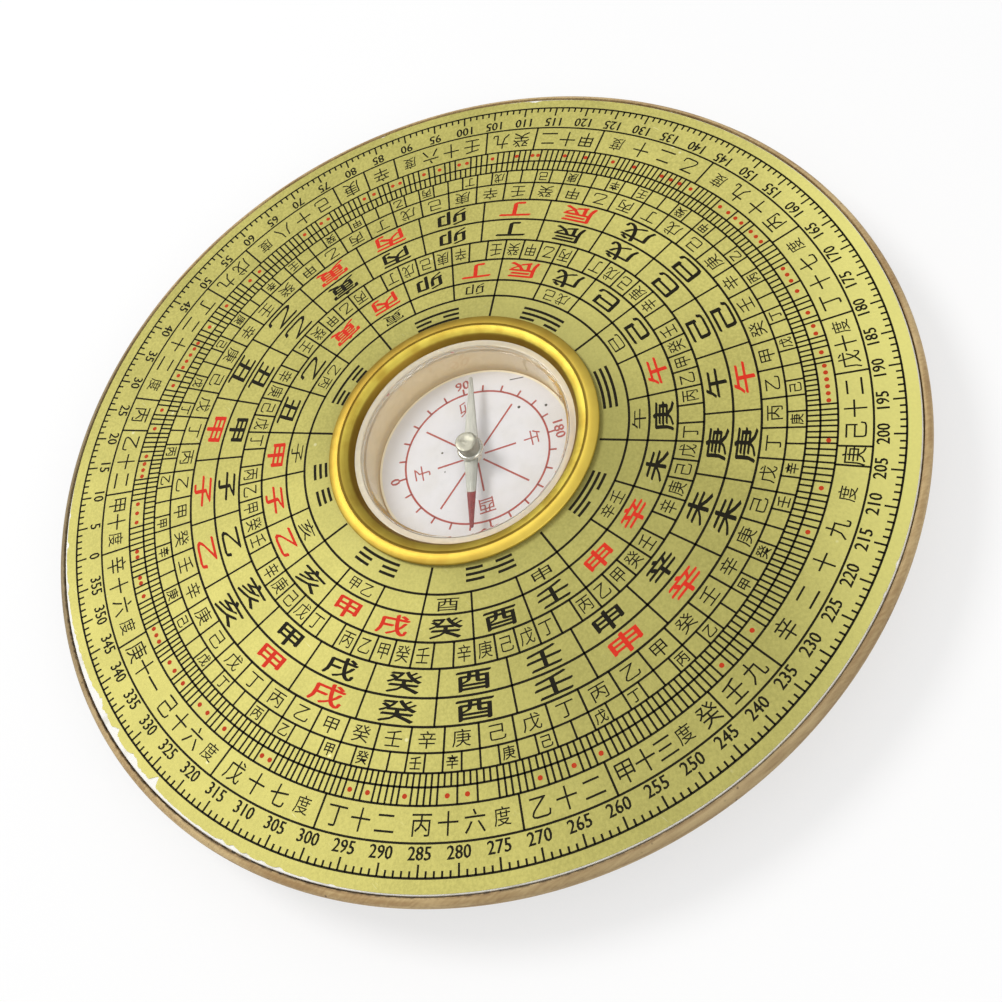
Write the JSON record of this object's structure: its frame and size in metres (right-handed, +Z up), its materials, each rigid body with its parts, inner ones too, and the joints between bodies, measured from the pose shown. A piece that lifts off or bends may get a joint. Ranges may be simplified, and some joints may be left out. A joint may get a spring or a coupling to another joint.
{
  "type": "luopan compass",
  "caption": "Round wooden dial compass with a printed gold dial and a small magnetic needle capsule in a gold ring at its centre.",
  "frame": {"origin": "centre of the flat foot, on the surface that the compass rests on", "axes": "+Z up along the needle's pivot, +Y towards the 0 degree mark of the dial, +X towards its 90 degree mark; degrees run clockwise seen from above"},
  "size_m": [0.12, 0.12, 0.011],
  "materials": {
    "turned_wood": "satin lacquered wood",
    "white_board": "matt board",
    "gold_foil": "satin metallised film, printed",
    "gold_ring": "satin gold",
    "clear_plastic": "clear moulded plastic",
    "white_card": "printed white card",
    "pin_steel": "bright steel",
    "needle_steel": "satin steel, one end painted red",
    "hub_metal": "bright turned metal",
    "jewel": "polished"
  },
  "bodies": {
    "base": {"wood_base": "turned_wood", "dial_board": "white_board", "dial_foil": "gold_foil", "bezel_ring": "gold_ring", "capsule_case": "clear_plastic", "capsule_lid": "clear_plastic", "compass_card": "white_card", "pivot_pin": "pin_steel"},
    "needle": {"needle_blade": "needle_steel", "needle_bush": "hub_metal", "needle_cap": "hub_metal", "bearing_jewel": "jewel"}
  },
  "joints": [
    {"name": "needle_spin", "type": "hinge", "parent": "base", "child": "needle", "pos_m": [0, 0, 0.0078], "axis": [0, 0, 1], "continuous": true}
  ]
}
